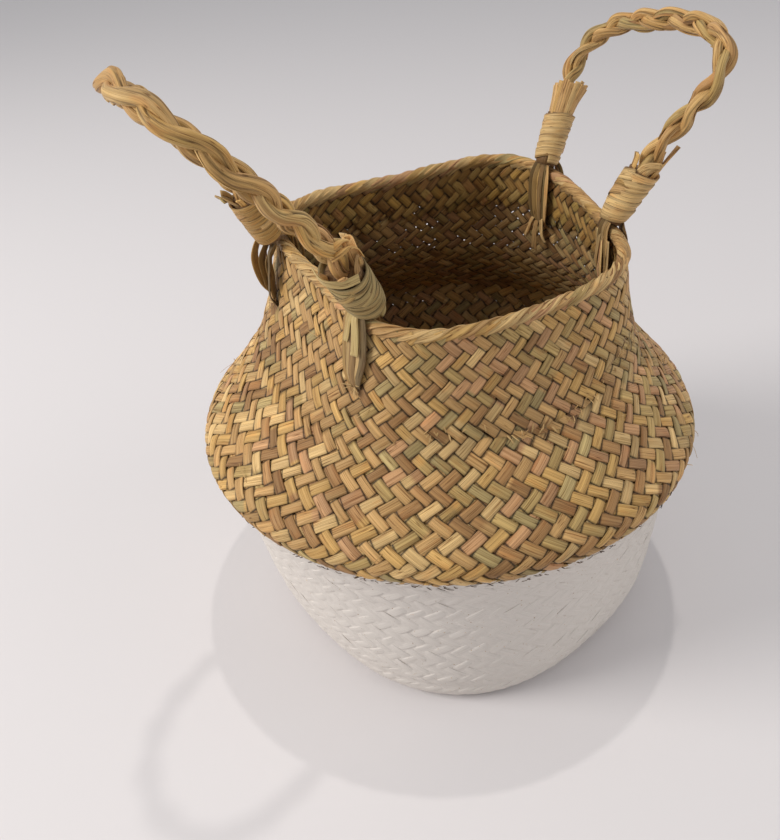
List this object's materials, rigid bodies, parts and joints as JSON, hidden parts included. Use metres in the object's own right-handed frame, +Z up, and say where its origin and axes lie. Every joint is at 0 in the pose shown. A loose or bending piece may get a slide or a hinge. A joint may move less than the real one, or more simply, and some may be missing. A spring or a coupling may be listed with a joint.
{
  "type": "seagrass belly basket",
  "caption": "Round-bellied plaited seagrass storage basket with a white painted lower half, a squarish neck, a folded rim and braided arch handles that swing at the rim.",
  "frame": {"origin": "centre of the flat underside of the base", "axes": "+Z up, +X from the left handle to the right handle, +Y to the back"},
  "size_m": [0.2493, 0.24, 0.2943],
  "materials": {
    "natural_seagrass": "matt plaited strips, tan with olive and pinkish strips",
    "inner_seagrass": "matt plaited strips, unpainted, seen from inside",
    "painted_seagrass": "matt off-white paint over plaited strips",
    "braided_seagrass": "braided folded blades with a low sheen",
    "wrap_strip": "flat strip wound tight, low sheen"
  },
  "bodies": {
    "basket": {"base_mat": "painted_seagrass", "inner_hem": "inner_seagrass", "left_far_anchor": "braided_seagrass", "left_near_anchor": "braided_seagrass", "lower_wall": "painted_seagrass", "neck_wall": "natural_seagrass", "right_far_anchor": "braided_seagrass", "right_near_anchor": "braided_seagrass", "rim_border": "natural_seagrass", "upper_wall": "natural_seagrass"},
    "left_handle": {"left_far_cut_ends": "braided_seagrass", "left_far_wrap": "wrap_strip", "left_near_cut_ends": "braided_seagrass", "left_near_wrap": "wrap_strip", "left_strand_a": "braided_seagrass", "left_strand_b": "braided_seagrass", "left_strand_c": "braided_seagrass"},
    "right_handle": {"right_far_cut_ends": "braided_seagrass", "right_far_wrap": "wrap_strip", "right_near_cut_ends": "braided_seagrass", "right_near_wrap": "wrap_strip", "right_strand_a": "braided_seagrass", "right_strand_b": "braided_seagrass", "right_strand_c": "braided_seagrass"}
  },
  "joints": [
    {"name": "left_handle_swing", "type": "hinge", "parent": "basket", "child": "left_handle", "pos_m": [-0.06345, -0.00185, 0.20664], "axis": [0.2321, -0.9675, -0.1003], "range_deg": [-76, 26]},
    {"name": "right_handle_swing", "type": "hinge", "parent": "basket", "child": "right_handle", "pos_m": [0.07161, 0.00464, 0.21017], "axis": [0.0634, 0.992, 0.1091], "range_deg": [-66, 36]}
  ]
}
